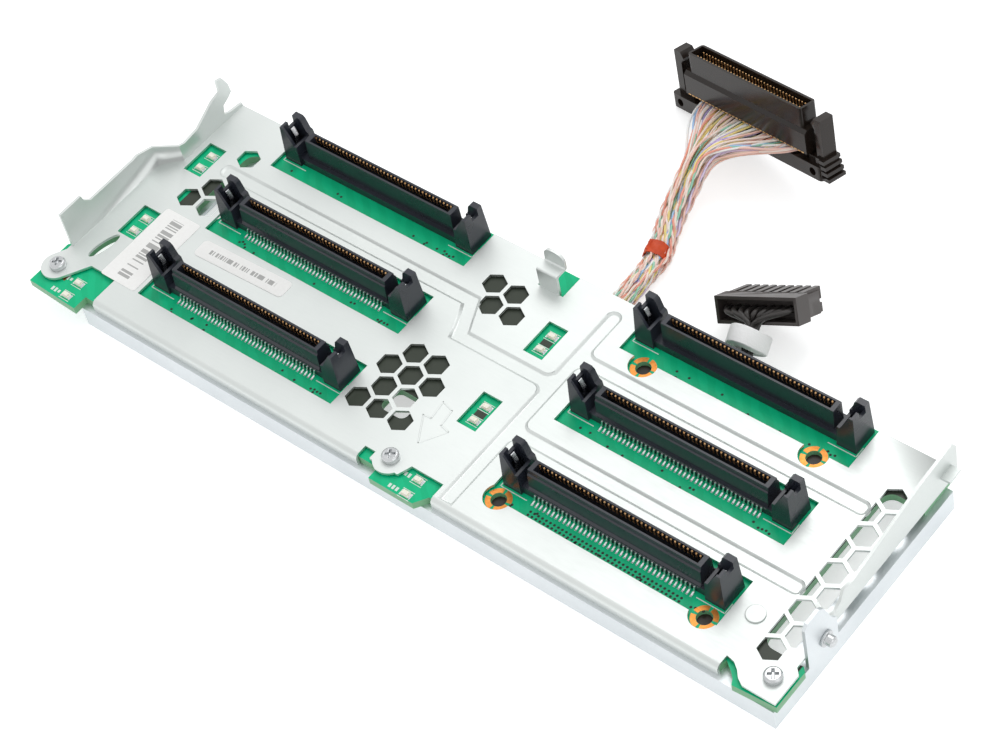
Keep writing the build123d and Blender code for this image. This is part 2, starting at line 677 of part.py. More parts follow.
# Signal cable: a loose bundle from the board plug, then the fan into the plug
signal_route = [
    (signal_x, signal_exit, 4.3), (signal_x, 53.0, 4.3), (13.2, 64.5, 4.9), (9.8, 76.0, 7.2), (7.8, 88.0, 10.6),
]
power_route = [
    (power_x, power_exit, 3.2), (power_x, 29.5, 3.2), (60.0, 38.5, 3.2), (54.9, 47.0, 8.1), (53.9, 50.8, 9.8),
]


def facet_round(radius, sides=12):
    """A regular polygon with the area of a circle, for what is bound round."""
    wide = radius * math.sqrt(2 * math.pi / (sides * math.sin(2 * math.pi / sides)))
    return RegularPolygon(wide, sides)


def cord(route, diameter):
    """Straight runs joined by the largest tangent arcs that they allow."""
    points = [Vector(*p) for p in route]
    radii = []
    for a, b, c in zip(points, points[1:], points[2:]):
        turn = math.radians((b - a).get_angle(c - b))
        radii.append(0.45 * min((b - a).length, (c - b).length) / math.tan(turn / 2))
    path = FilletPolyline(*points, radius=radii)
    print("cord radii", [round(r, 1) for r in radii], "length", round(path.length, 2))
    start = Plane(origin=points[0], z_dir=points[1] - points[0])
    tube = sweep(start * facet_round(diameter / 2), path=path)
    print("volume ratio", round(tube.volume / (math.pi * diameter ** 2 / 4 * path.length), 4))
    return tube


save("signal_cable", cord(signal_route, signal_cable_diameter))
save("power_cable", cord(power_route, power_cable_diameter))

# The bare wires between the bundle and the plug: one wedge with flat sides
fan_width = 40.0
fan_thickness = 1.4
bundle_width = 5.6
bundle_thickness = 2.6
slot_plane = signal_plug_place * Location((0, -1.6, -shell_bottom - 0.8), (-53.13, 0, 0))


def wedge(start_place, start_size, end_place, end_size):
    """A solid with flat triangles between two rectangles, each with a place and a size."""
    corners = ((-1, -1), (1, -1), (1, 1), (-1, 1))
    near, far = [
        [(place * Pos(x * size[0] / 2, y * size[1] / 2)).position for x, y in corners]
        for place, size in ((start_place, start_size), (end_place, end_size))
    ]
    sides = [polygon(near), polygon(far)]
    for i in range(4):
        after = (i + 1) % 4
        sides += [polygon([near[i], near[after], far[after]]), polygon([near[i], far[after], far[i]])]
    return Solid(Shell(sides))


bundle_run = (Vector(*signal_route[-1]) - Vector(*signal_route[-2])).normalized()
bundle_place = Plane(origin=Vector(*signal_route[-1]) + bundle_run * 0.2, x_dir=(1, 0, 0), z_dir=bundle_run)
save("signal_wire_fan", wedge(bundle_place.location, (bundle_width, bundle_thickness),
                              slot_plane, (fan_width, fan_thickness)))

# Tape round the bundle and the white wrap round the power wires
tape_middle = (Vector(*signal_route[1]) + Vector(*signal_route[2])) / 2
tape_plane = Plane(origin=tape_middle, z_dir=Vector(*signal_route[2]) - Vector(*signal_route[1]))
tape = facet_round(signal_cable_diameter / 2 + 0.5) - facet_round(signal_cable_diameter / 2 + 0.25)
save("bundle_tape", tape_plane * Pos(0, 0, -2.5) * extrude(tape, amount=5))
wrap_radius = 5.8
wrap_from = Vector(55.19, 45.44, 7.36)
wrap_to = Vector(53.91, 50.76, 9.82)
wrap_plane = Plane(origin=(wrap_from + wrap_to) / 2, z_dir=wrap_to - wrap_from)
wrap = facet_round(wrap_radius) - facet_round(power_cable_diameter / 2 + 1.0)
wrap_length = (wrap_to - wrap_from).length
save("power_wrap", wrap_plane * Pos(0, 0, -wrap_length / 2) * extrude(wrap, amount=wrap_length))

# Power cable plug: nine ribbed positions in two rows behind an open hood
power_plug_length = 26.4
power_plug_depth = 11.0
power_plug_height = 7.5
power_positions = 9
hood_depth = 4.0
power_plug_place = Plane(origin=(39.43, 54.05, 10.95), x_dir=(0.91, 0.15, 0.38), z_dir=(-0.41, 0.46, 0.79))
hood = block(0, power_plug_length, 0, hood_depth + 1.2, -power_plug_height, 0)
hood -= block(0.9, power_plug_length - 0.9, -1, hood_depth, -power_plug_height + 0.9, -0.9)
rib_pitch = (power_plug_length - 1.6) / power_positions
power_plug = hood + block(0.8, power_plug_length - 0.8, hood_depth + 1, power_plug_depth,
                          -power_plug_height + 0.7, -0.7)
for i in range(power_positions):
    x = 0.8 + (i + 0.5) * rib_pitch
    power_plug += block(x - 0.8, x + 0.8, hood_depth + 1, power_plug_depth + 1.6, -0.9, 0.1)
    power_plug += block(x - 0.8, x + 0.8, power_plug_depth - 1, power_plug_depth + 1.6, -3.2, -0.8)
    power_plug += block(x - 0.8, x + 0.8, power_plug_depth - 1, power_plug_depth + 1.6,
                        -power_plug_height + 0.8, -4.2)
save("power_plug", power_plug_place.location * power_plug)

# The bare power wires spread from the wrap into the plug's hood
power_fan_width = power_plug_length - 2.4
power_fan_thickness = 1.6
cable_run = (Vector(*power_route[-1]) - Vector(*power_route[-2])).normalized()
cable_place = Plane(origin=Vector(*power_route[-1]) + cable_run * 0.2, x_dir=(1, 0, 0), z_dir=cable_run)
mouth_middle = Location((power_plug_length / 2, 0.3, -power_plug_height / 2), (-90, 0, 0))
mouth_place = power_plug_place.location * mouth_middle
save("power_wire_fan", wedge(cable_place.location, (2.4, 2.0),
                             mouth_place, (power_fan_width, power_fan_thickness)))
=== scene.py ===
"""A server drive backplane on a white table: board, cover plate, six drive
sockets and two short cables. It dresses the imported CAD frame, in metres."""
import math
import random

import bmesh
import bpy
from mathutils import Matrix, Vector


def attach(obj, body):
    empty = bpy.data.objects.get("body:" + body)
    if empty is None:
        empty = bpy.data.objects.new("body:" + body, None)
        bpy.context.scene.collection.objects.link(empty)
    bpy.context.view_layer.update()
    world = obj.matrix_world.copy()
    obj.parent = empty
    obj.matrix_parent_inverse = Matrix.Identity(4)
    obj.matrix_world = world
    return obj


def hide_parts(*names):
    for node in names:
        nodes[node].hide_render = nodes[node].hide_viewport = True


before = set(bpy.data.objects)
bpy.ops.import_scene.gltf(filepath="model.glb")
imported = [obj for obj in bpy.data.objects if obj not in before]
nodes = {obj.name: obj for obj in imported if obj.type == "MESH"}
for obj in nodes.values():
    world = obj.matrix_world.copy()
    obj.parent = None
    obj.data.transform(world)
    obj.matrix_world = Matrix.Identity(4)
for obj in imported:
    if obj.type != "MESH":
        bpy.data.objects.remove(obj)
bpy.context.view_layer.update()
MM = 0.001


# Camera. It stands to the front and right of the board and looks down on it
# with a long lens. Its turn was solved from the straight edges of the board.
def at(x, y, z):
    """A point given in millimetres."""
    return Vector((x, y, z)) * MM


camera_place = at(348.684, -281.334, 547.976)
camera_right = Vector((0.766099, 0.623599, -0.155619))
camera_down = Vector((0.417042, -0.666539, -0.617901))
camera_forward = Vector((-0.489049, 0.408474, -0.770701))
lens_mm = 96.88

camera_data = bpy.data.cameras.new("camera")
camera_data.sensor_width = 36
camera_data.lens = lens_mm
camera_data.clip_start = 0.05
camera_data.clip_end = 20
camera = bpy.data.objects.new("camera", camera_data)
turn = Matrix((camera_right, -camera_down, -camera_forward)).transposed()
camera.matrix_world = Matrix.Translation(camera_place) @ turn.to_4x4()
bpy.context.scene.collection.objects.link(camera)
bpy.context.scene.camera = camera


# Table and studio light. The table is white card. Two large soft lamps and a
# white room light the part from all sides, so its shadows are pale and soft.
def linear(hex_colour):
    """The linear colour of an sRGB hex value, with alpha 1."""
    channels = [int(hex_colour[i:i + 2], 16) / 255 for i in (0, 2, 4)]
    return [c / 12.92 if c <= 0.04045 else ((c + 0.055) / 1.055) ** 2.4 for c in channels] + [1.0]


def add(tree, kind, settings=None, **inputs):
    """Adds a node with its settings, and sets or links its inputs by name."""
    made = tree.nodes.new("ShaderNode" + kind)
    for name, value in (settings or {}).items():
        setattr(made, name, value)
    for name, value in inputs.items():
        key = int(name[1:]) if name[0] == "i" and name[1:].isdigit() else name.replace("_", " ")
        if isinstance(value, bpy.types.NodeSocket):
            tree.links.new(value, made.inputs[key])
        else:
            made.inputs[key].default_value = value
    return made


def new_tree(name):
    """A material of that name with all its nodes cleared."""
    material = bpy.data.materials.new(name)
    material.use_nodes = True
    tree = material.node_tree
    tree.nodes.clear()
    return material, tree


def finish_material(tree, shader):
    """Joins a shader to the output."""
    add(tree, "OutputMaterial", Surface=shader.outputs[0])


def seen_directly(tree):
    """1 for rays from the camera, also by reflection or through glass, else 0."""
    rays = add(tree, "LightPath")
    direct = rays.outputs["Is Camera Ray"]
    for kind in ("Is Glossy Ray", "Is Transmission Ray"):
        direct = add(tree, "Math", {"operation": "MAXIMUM"}, i0=direct, i1=rays.outputs[kind]).outputs[0]
    return direct


table_half = 3.0
table_lift = 0.55

table = bmesh.new()
bmesh.ops.create_grid(table, x_segments=1, y_segments=1, size=table_half)
table_mesh = bpy.data.meshes.new("table_top")
table.to_mesh(table_mesh)
table.free()
table_top = bpy.data.objects.new("table_top", table_mesh)
bpy.context.scene.collection.objects.link(table_top)

# White card: it keeps soft shadows and is otherwise as white as the room
white_card, tree = new_tree("white_card")
card = add(tree, "BsdfDiffuse", Color=(0.8, 0.8, 0.8, 1))
glow = add(tree, "Emission", Color=(1, 1, 1, 1), Strength=table_lift)
seen = add(tree, "AddShader", i0=card.outputs[0], i1=glow.outputs[0])
finish_material(tree, add(tree, "MixShader", Fac=seen_directly(tree), i1=card.outputs[0], i2=seen.outputs[0]))
table_mesh.materials.append(white_card)

room_light = 0.74
world = bpy.data.worlds.new("white_room")
bpy.context.scene.world = world
world.use_nodes = True
tree = world.node_tree
tree.nodes.clear()
soft = add(tree, "Background", Color=(0.98, 0.99, 1.0, 1), Strength=room_light)
white = add(tree, "Background", Color=(1, 1, 1, 1), Strength=1.0)
mixed = add(tree, "MixShader", Fac=seen_directly(tree), i1=soft.outputs[0], i2=white.outputs[0])
add(tree, "OutputWorld", Surface=mixed.outputs[0])


def soft_lamp(name, place, size, power):
    """A square soft lamp that points at the board."""
    lamp = bpy.data.lights.new(name, "AREA")
    lamp.size = size
    lamp.energy = power
    stand = bpy.data.objects.new(name, lamp)
    stand.location = place
    stand.rotation_euler = (-place).to_track_quat("-Z", "Y").to_euler()
    bpy.context.scene.collection.objects.link(stand)


soft_lamp("lamp_back", at(-110, 630, 1000), 0.6, 3.4)
soft_lamp("lamp_right", at(900, -100, 700), 0.8, 1.1)
bpy.context.scene.view_settings.view_transform = "Standard"


# Signal cable. Twisted pairs of pale insulated wire run as a loose round
# bundle from the plug below the board. Their colours mix to a pale pink.
signal_route = [
    at(15.8, 42.0, 4.3), at(15.8, 53.0, 4.3), at(13.2, 64.5, 4.9), at(9.8, 76.0, 7.2), at(7.8, 88.0, 10.6),
]
pair_count = 34
wire_radius = 0.34 * MM
pair_pitch = 8.0 * MM
bundle_radius = 3.3 * MM


def centreline(name, route):
    """Points read from the smooth NURBS line of a route."""
    curve = bpy.data.curves.new(name + "_line", "CURVE")
    curve.dimensions = "3D"
    spline = curve.splines.new("NURBS")
    spline.points.add(len(route) - 1)
    for point, place in zip(spline.points, route):
        point.co = (*place, 1.0)
    spline.order_u = 3
    spline.use_endpoint_u = True
    spline.resolution_u = 12
    holder = bpy.data.objects.new(name + "_line", curve)
    bpy.context.scene.collection.objects.link(holder)
    bpy.context.view_layer.update()
    mesh = bpy.data.meshes.new_from_object(holder.evaluated_get(bpy.context.evaluated_depsgraph_get()))
    line = [v.co.copy() for v in mesh.vertices]
    bpy.data.objects.remove(holder)
    bpy.data.curves.remove(curve)
    bpy.data.meshes.remove(mesh)
    return line


def place_on(line, share):
    """The point and direction at a share of a line's points."""
    where = share * (len(line) - 1)
    i = min(int(where), len(line) - 2)
    ahead = (line[i + 1] - line[i]).normalized()
    if 0 < i:
        ahead = ahead.lerp((line[i + 1] - line[i - 1]).normalized(), 0.5).normalized()
    return line[i].lerp(line[i + 1], where - i), ahead


def wires_piece(name, wires, radius, materials, sides=1):
    """Round wires, each a list of points and a material number, as one mesh."""
    curve = bpy.data.curves.new(name, "CURVE")
    curve.dimensions = "3D"
    curve.bevel_depth = radius
    curve.bevel_resolution = sides
    curve.use_fill_caps = True
    for material in materials:
        curve.materials.append(material)
    for points, colour in wires:
        spline = curve.splines.new("POLY")
        spline.points.add(len(points) - 1)
        for point, place in zip(spline.points, points):
            point.co = (*place, 1.0)
        spline.material_index = colour
        spline.use_smooth = True
    holder = bpy.data.objects.new(name + "_curve", curve)
    bpy.context.scene.collection.objects.link(holder)
    bpy.context.view_layer.update()
    mesh = bpy.data.meshes.new_from_object(holder.evaluated_get(bpy.context.evaluated_depsgraph_get()))
    mesh.name = name
    bpy.data.objects.remove(holder)
    piece = bpy.data.objects.new(name, mesh)
    bpy.context.scene.collection.objects.link(piece)
    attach(piece, "root")
    return piece


def wire_insulation(name, hex_colour):
    """Extruded soft PVC: an even colour with a low waxy gloss and slight sheen."""
    material, tree = new_tree(name)
    space = add(tree, "TexCoord")
    # Print and handling leave the colour slightly uneven every few millimetres
    cloud = add(tree, "TexNoise", Vector=space.outputs["Object"], Scale=1 / (3 * MM), Detail=2.0)
    shade = add(tree, "ValToRGB", Fac=cloud.outputs["Fac"])
    pale = linear(hex_colour)
    shade.color_ramp.elements[0].position = 0.3
    shade.color_ramp.elements[0].color = [c * 0.93 for c in pale[:3]] + [1]
    shade.color_ramp.elements[1].position = 0.7
    shade.color_ramp.elements[1].color = pale
    skin = add(tree, "BsdfPrincipled", Base_Color=shade.outputs["Color"], Roughness=0.42, IOR=1.53,
               Subsurface_Weight=0.4, Subsurface_Radius=(0.0009, 0.0008, 0.0007))
    finish_material(tree, skin)
    return material


wire_hexes = {
    "white": "FFFBF6", "pale_pink": "FFEADF", "pink": "FFD2C4", "red": "F7AB97", "orange": "FFC68C",
    "yellow": "FCE796", "blue": "A9CCF0", "green": "9FD8BE", "violet": "C9B4E6", "lavender": "EBDAF4",
}
insulation = [wire_insulation("pvc_insulation_" + name, h) for name, h in wire_hexes.items()]
hue_number = {name: i for i, name in enumerate(wire_hexes)}
# Colours of the fan's pairs as the photograph shows them, and of their partners
left_to_right = (
    "pink blue red green violet yellow orange red yellow blue orange yellow "
    "pink orange green lavender pink violet blue orange yellow violet yellow "
    "pink orange red blue yellow green lavender orange pink lavender pink"
).split()
partners = ["white", "white", "pale_pink", "pale_pink", "pink", "white", "yellow"]
golden_angle = 2.39996
random.seed(7)


def pair_seat(i, count, radius, wander=0.0):
    """Where a pair sits in the round bundle: even spirals from the middle out."""
    reach = radius * math.sqrt((i + 0.5) / count)
    angle = i * golden_angle + wander
    return reach * math.cos(angle), reach * math.sin(angle)


tape_place = at(13.4, 62.2, 4.9)
tape_pinch = 0.95 * MM
pinch_share = 0.16
loosening = 0.9 * MM
loose_reach = 2.0 * MM
pair_wander = [random.uniform(-0.6, 0.6) for _ in range(pair_count)]
signal_line = centreline("signal_cable", signal_route)
nearest = min(range(len(signal_line)), key=lambda i: (signal_line[i] - tape_place).length)
tape_share = nearest / (len(signal_line) - 1)
run = sum((b - a).length for a, b in zip(signal_line, signal_line[1:]))
steps = 64


def bundle_point(i, share, twist):
    """A pair's place and its wire's offset at a share of the bundle."""
    middle, ahead = place_on(signal_line, share)
    side = ahead.cross(Vector((0, 0, 1))).normalized()
    top = side.cross(ahead).normalized()
    near_tape = math.exp(-((share - tape_share) / pinch_share) ** 2)
    spread = bundle_radius - wire_radius + loosening * share
    wander = 0.5 * share + pair_wander[i] * math.sin(5 * share)
    x, z = pair_seat(i, pair_count, spread - tape_pinch * near_tape, wander)
    if i % 4 == 3 and i > pair_count // 3:
        x, z = abs(x) + loose_reach * near_tape, z - 0.3 * loose_reach * near_tape
    angle = 2 * math.pi * share * run / pair_pitch + i
    x += wire_radius * math.cos(angle + twist)
    z += wire_radius * math.sin(angle + twist)
    return middle + side * x + top * z


def rightward(i):
    """How far right a pair leaves the bundle."""
    side = place_on(signal_line, 1.0)[1].cross(Vector((0, 0, 1))).normalized()
    return (bundle_point(i, 1.0, 0) + bundle_point(i, 1.0, math.pi)).dot(side)


fan_order = sorted(range(pair_count), key=rightward)
pair_colours = {}
for i, name in zip(fan_order, left_to_right):
    pair_colours[i] = (hue_number[name], hue_number[random.choice(partners)])
bundle_wires = []
for i in range(pair_count):
    for twist, colour in zip((0, math.pi), pair_colours[i]):
        bundle_wires.append(([bundle_point(i, s / steps, twist) for s in range(steps + 1)], colour))
signal_cable = wires_piece("signal_cable_wires", bundle_wires, wire_radius, insulation)
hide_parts("signal_cable")


# Wire fan. Behind the tape the pairs spread out flat, side by side, and turn
# up into the slot of the plug, one coloured and one pale wire to a pair.
plug_turn = Matrix.Rotation(math.radians(-10.05), 3, "X") @ Matrix.Rotation(math.radians(-9.5), 3, "Y")
plug_turn = plug_turn @ Matrix.Rotation(math.radians(-12.5), 3, "Z")
plug_place = Matrix.Translation((10.64, 112.33, 26.1)) @ plug_turn.to_4x4()
fan_pitch = 1.2
fan_height = -14.4
pair_aside, pair_above = 0.3, 0.35
fan_steps = 22


def sprung(start, leave, end, arrive, count):
    """Points of a wire that leaves and arrives in given directions."""
    line = []
    for s in range(count + 1):
        t = s / count
        u = 1 - t
        line.append(start * u ** 3 + (start + leave) * 3 * u * u * t
                    + (end - arrive) * 3 * u * t * t + end * t ** 3)
    return line


fan_wires = []
for slot_number, i in enumerate(fan_order):
    for twist, colour in zip((0, math.pi), pair_colours[i]):
        start = bundle_point(i, 1.0, twist)
        ahead = place_on(signal_line, 1.0)[1]
        x = (slot_number - (pair_count - 1) / 2) * fan_pitch + (pair_aside if twist else -pair_aside)
        height = fan_height + (pair_above if twist else -pair_above)
        end = plug_place @ Vector((x, 0.4, height)) * MM
        arrive = plug_place.to_3x3() @ Vector((random.uniform(-0.25, 0.25), 1.0, 0.0))
        arrive = arrive * random.uniform(7, 13) * MM
        fan_wires.append((sprung(start, ahead * random.uniform(6, 14) * MM, end, arrive, fan_steps), colour))
signal_fan = wires_piece("signal_wire_fan_wires", fan_wires, wire_radius, insulation)
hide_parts("signal_wire_fan")


# Bundle tape. One wrap of soft orange-red tape holds the pairs together. It
# lies in creases, and its loose end stands off as a small tab.
def piece(name, shape, materials, *replaced, slot="", sharp=35):
    """Makes a piece of the backplane from a shape drawn in millimetres."""
    bmesh.ops.scale(shape, vec=(MM, MM, MM), verts=shape.verts)
    mesh = bpy.data.meshes.new(name)
    shape.to_mesh(mesh)
    shape.free()
    for material in materials:
        mesh.materials.append(material)
    mesh.shade_smooth()
    mesh.set_sharp_from_angle(angle=math.radians(sharp))
    made = bpy.data.objects.new(name, mesh)
    bpy.context.scene.collection.objects.link(made)
    shading = made.modifiers.new("flat_faces", "WEIGHTED_NORMAL")
    shading.keep_sharp = True
    shading.weight = 100
    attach(made, "root")
    if replaced:
        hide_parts(*replaced)
    return made


def facing(origin, ahead):
    """A place at a point, with its Z along a direction."""
    return Matrix.Translation(origin) @ ahead.to_track_quat("Z", "Y").to_matrix().to_4x4()


tape_radius = 2.9
tape_width = 4.2
tape_rings = 6
tape_thickness = 0.3
tab_size = (2.4, 0.35, 3.2)
tab_place = (1.1, 2.5, 0.2)
tape_at, tape_ahead = place_on(signal_line, tape_share)
tape_at = tape_at / MM

tape = bmesh.new()
bmesh.ops.create_circle(tape, segments=48, radius=tape_radius)
bmesh.ops.translate(tape, vec=(0, 0, -tape_width / 2), verts=tape.verts)
for _ in range(tape_rings):
    rim = [e for e in tape.edges if e.is_boundary or not e.link_faces]
    top = max(v.co.z for v in tape.verts)
    rim = [e for e in rim if min(v.co.z for v in e.verts) > top - 0.01]
    grown = bmesh.ops.extrude_edge_only(tape, edges=rim)["geom"]
    ring = [g for g in grown if isinstance(g, bmesh.types.BMVert)]
    bmesh.ops.translate(tape, vec=(0, 0, tape_width / tape_rings), verts=ring)
for v in tape.verts:
    angle = math.atan2(v.co.y, v.co.x)
    crease = 0.14 * math.sin(5 * angle + 2.1 * v.co.z) + 0.09 * math.sin(11 * angle - 1.3 * v.co.z)
    v.co.xy = v.co.xy * (1 + crease / tape_radius)
bmesh.ops.recalc_face_normals(tape, faces=tape.faces)
bmesh.ops.solidify(tape, geom=tape.faces[:], thickness=-tape_thickness)
tab = bmesh.ops.create_cube(tape, size=1.0)["verts"]
bmesh.ops.scale(tape, vec=tab_size, verts=tab)
bmesh.ops.rotate(tape, cent=(0, 0, 0), matrix=Matrix.Rotation(math.radians(35), 3, "Z"), verts=tab)
bmesh.ops.translate(tape, vec=tab_place, verts=tab)
bmesh.ops.transform(tape, matrix=facing(tape_at, tape_ahead), verts=tape.verts)

# Crepe-paper tape: a dry orange-red with fine creases that catch a pale edge.
# A Mix node set to in_colour takes its share at 0 and its two colours at 6, 7.
in_colour = {"data_type": "RGBA"}
crepe, tree = new_tree("crepe_paper_tape")
space = add(tree, "TexCoord")
creases = add(tree, "TexNoise", Vector=space.outputs["Object"], Scale=1 / (0.7 * MM), Detail=3.0)
stains = add(tree, "TexNoise", Vector=space.outputs["Object"], Scale=1 / (3 * MM))
hue = add(tree, "Mix", in_colour, i0=stains.outputs["Fac"], i6=linear("A82A06"), i7=linear("EE5A1C"))
relief = add(tree, "Bump", Strength=0.8, Distance=0.15 * MM, Height=creases.outputs["Fac"])
skin = add(tree, "BsdfPrincipled", Base_Color=hue.outputs[2], Roughness=0.55, Normal=relief.outputs["Normal"])
finish_material(tree, skin)
piece("bundle_tape_wrap", tape, [crepe], "bundle_tape", slot="orange_tape")


# Signal plug. A moulded glossy shell with an open rim stands on a bar with two
# latch arms and a ribbed grip. Edges are softened as the mould leaves them.
def softened(node, name, edge, materials, slot):
    """A copy of a CAD node with its loose triangles joined and edges rounded."""
    shape = bmesh.new()
    shape.from_mesh(nodes[node].data)
    bmesh.ops.scale(shape, vec=(1 / MM, 1 / MM, 1 / MM), verts=shape.verts)
    bmesh.ops.remove_doubles(shape, verts=shape.verts, dist=0.002)
    bmesh.ops.dissolve_limit(shape, angle_limit=math.radians(1), verts=shape.verts, edges=shape.edges)
    keen = [e for e in shape.edges if e.is_manifold and e.calc_face_angle(0) > math.radians(30)]
    bmesh.ops.bevel(shape, geom=keen, offset=edge, segments=2, profile=0.5, affect="EDGES",
                    material=-1, clamp_overlap=True)
    return piece(name, shape, materials, node, slot=slot)


def moulded(name, dark, light, roughness, mottle, grit, depth, shine=0.5):
    """Moulded plastic: its colour drifts over some mm and its skin has a fine grit."""
    material, tree = new_tree(name)
    space = add(tree, "TexCoord")
    drift = add(tree, "TexNoise", Vector=space.outputs["Object"], Scale=1 / (mottle * MM), Detail=2.0)
    fine = add(tree, "TexNoise", Vector=space.outputs["Object"], Scale=1 / (grit * MM), Detail=2.0)
    colour = add(tree, "Mix", in_colour, i0=drift.outputs["Fac"], i6=linear(dark), i7=linear(light))
    gloss = add(tree, "MapRange", Value=drift.outputs["Fac"], To_Min=roughness - 0.06, To_Max=roughness + 0.08)
    relief = add(tree, "Bump", Strength=0.5, Distance=depth * MM, Height=fine.outputs["Fac"])
    skin = add(tree, "BsdfPrincipled", Base_Color=colour.outputs[2], Roughness=gloss.outputs[0], IOR=1.53,
               Specular_IOR_Level=shine, Normal=relief.outputs["Normal"])
    finish_material(tree, skin)
    return material


# Glass-filled polyester, moulded: grey-brown, with clear reflections
dark_polyester = moulded("moulded_polyester", "1A130F", "2A221D", 0.2, 9.0, 0.4, 0.005, shine=0.32)
plug_shell = softened("signal_plug_shell", "signal_plug_shell_moulding", 0.22, [dark_polyester],
                      "dark_carrier")
plug_carrier = softened("signal_plug_carrier", "signal_plug_carrier_moulding", 0.25, [dark_polyester],
                        "dark_carrier")


def bar(shape, low, high, edge=0.0, material=0, segments=1):
    """A bar between two corners, its edges rounded off."""
    one = bmesh.new()
    bmesh.ops.create_cube(one, size=1.0)
    bmesh.ops.scale(one, vec=Vector(high) - Vector(low), verts=one.verts)
    bmesh.ops.translate(one, vec=(Vector(low) + Vector(high)) / 2, verts=one.verts)
    if edge:
        bmesh.ops.bevel(one, geom=one.edges[:], offset=edge, segments=segments, profile=0.5, affect="EDGES",
                        material=-1)
    for face in one.faces:
        face.material_index = material
    repeat(shape, one, [Matrix.Identity(4)])
    one.free()


def repeat(shape, element, places):
    """Adds a small finished shape at each of several places."""
    mesh = bpy.data.meshes.new("element")
    element.to_mesh(mesh)
    for place in places:
        first = len(shape.verts)
        shape.from_mesh(mesh)
        shape.verts.ensure_lookup_table()
        bmesh.ops.transform(shape, matrix=place, verts=shape.verts[first:])
    bpy.data.meshes.remove(mesh)


def mottled(name, dark, light, mottle, detail, **look):
    """A small part's skin: its colour drifts between two tones over a mm or so."""
    material, tree = new_tree(name)
    space = add(tree, "TexCoord")
    drift = add(tree, "TexNoise", Vector=space.outputs["Object"], Scale=1 / (mottle * MM), Detail=detail)
    colour = add(tree, "Mix", in_colour, i0=drift.outputs["Fac"], i6=linear(dark), i7=linear(light))
    finish_material(tree, add(tree, "BsdfPrincipled", Base_Color=colour.outputs[2], **look))
    return material


# Gilt edge of the wire slot: the bright ends of the pierced contacts in a line
plated_gold = mottled("gold_plated_bronze", "D69A5C", "FFDCA6", 1.2, 3.0, Metallic=1.0, Roughness=0.45)
gilt_pitch = 1.42
gilt = bmesh.new()
for i in range(pair_count):
    x = (i - (pair_count - 1) / 2) * gilt_pitch
    bar(gilt, (x - 0.5, -3.92, -13.1), (x + 0.5, -3.7, -12.88), 0.04)
bmesh.ops.transform(gilt, matrix=plug_place, verts=gilt.verts)
piece("signal_plug_gilt_line", gilt, [plated_gold], slot="gold_contacts")

# Plug contacts: two rows of upright leaves, each with a rounded tip
contact_pitch = 1.27
pin_row_half = 1.05
leaf = bmesh.new()
bar(leaf, (-0.22, -0.16, -5.6), (0.22, 0.16, -0.9), 0.07)
pins = bmesh.new()
repeat(pins, leaf, [
    plug_place @ Matrix.Translation(((i - (pair_count - 1) / 2) * contact_pitch, row * pin_row_half, 0))
    for row in (-1, 1) for i in range(pair_count)
])
leaf.free()
plug_contacts = piece("signal_plug_contact_rows", pins, [plated_gold], "signal_plug_contacts",
                      slot="gold_contacts")


# Power cable. Nine black wires run together from below the board into a white
# wrap, then spread into the open hood of a nine-way plug.
power_route = [
    at(63.0, 22.0, 3.2), at(63.0, 29.5, 3.2), at(60.0, 38.5, 3.2), at(54.9, 47.0, 8.1), at(53.9, 50.8, 9.8),
]
power_wire_radius = 0.5 * MM
power_ring = 1.15 * MM
power_steps = 40
power_fan_steps = 18
fan_swell = 1.6
power_line = centreline("power_cable", power_route)
power_positions = 9


def power_point(i, share):
    """Where one of the nine wires runs at a share of the cable."""
    middle, ahead = place_on(power_line, share)
    side = ahead.cross(Vector((0, 0, 1))).normalized()
    top = side.cross(ahead).normalized()
    if i == 0:
        return middle
    angle = 2 * math.pi * i / (power_positions - 1) + 1.4 * share
    return middle + (side * math.cos(angle) + top * math.sin(angle)) * power_ring


black_pvc = wire_insulation("black_pvc_insulation", "2E2A28")
power_wires = [([power_point(i, s / power_steps) for s in range(power_steps + 1)], 0)
               for i in range(power_positions)]
power_cable = wires_piece("power_cable_wires", power_wires, power_wire_radius, [black_pvc], sides=2)
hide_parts("power_cable")

plug_z = Vector((-0.41, 0.46, 0.79)).normalized()
plug_x = Vector((0.91, 0.15, 0.38))
plug_x = (plug_x - plug_z * plug_x.dot(plug_z)).normalized()
power_turn = Matrix((plug_x, plug_z.cross(plug_x), plug_z)).transposed()
power_place = Matrix.Translation((39.43, 54.05, 10.95)) @ power_turn.to_4x4()
hood_wall = 0.8
rib_pitch = (26.4 - 2 * hood_wall) / power_positions
fan_wires = []
for i in range(power_positions):
    x = hood_wall + (i + 0.5) * rib_pitch
    end = power_place @ Vector((x, 3.6, -3.7)) * MM
    arrive = power_turn @ Vector((0.0, 1.0, 0.0)) * 7.5 * MM
    ahead = place_on(power_line, 1.0)[1]
    fan_wires.append((sprung(power_point(i, 1.0), ahead * 3.5 * MM, end, arrive, power_fan_steps), 0))
power_fan = wires_piece("power_wire_fan_wires", fan_wires, power_wire_radius * fan_swell, [black_pvc], sides=2)
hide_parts("power_wire_fan")

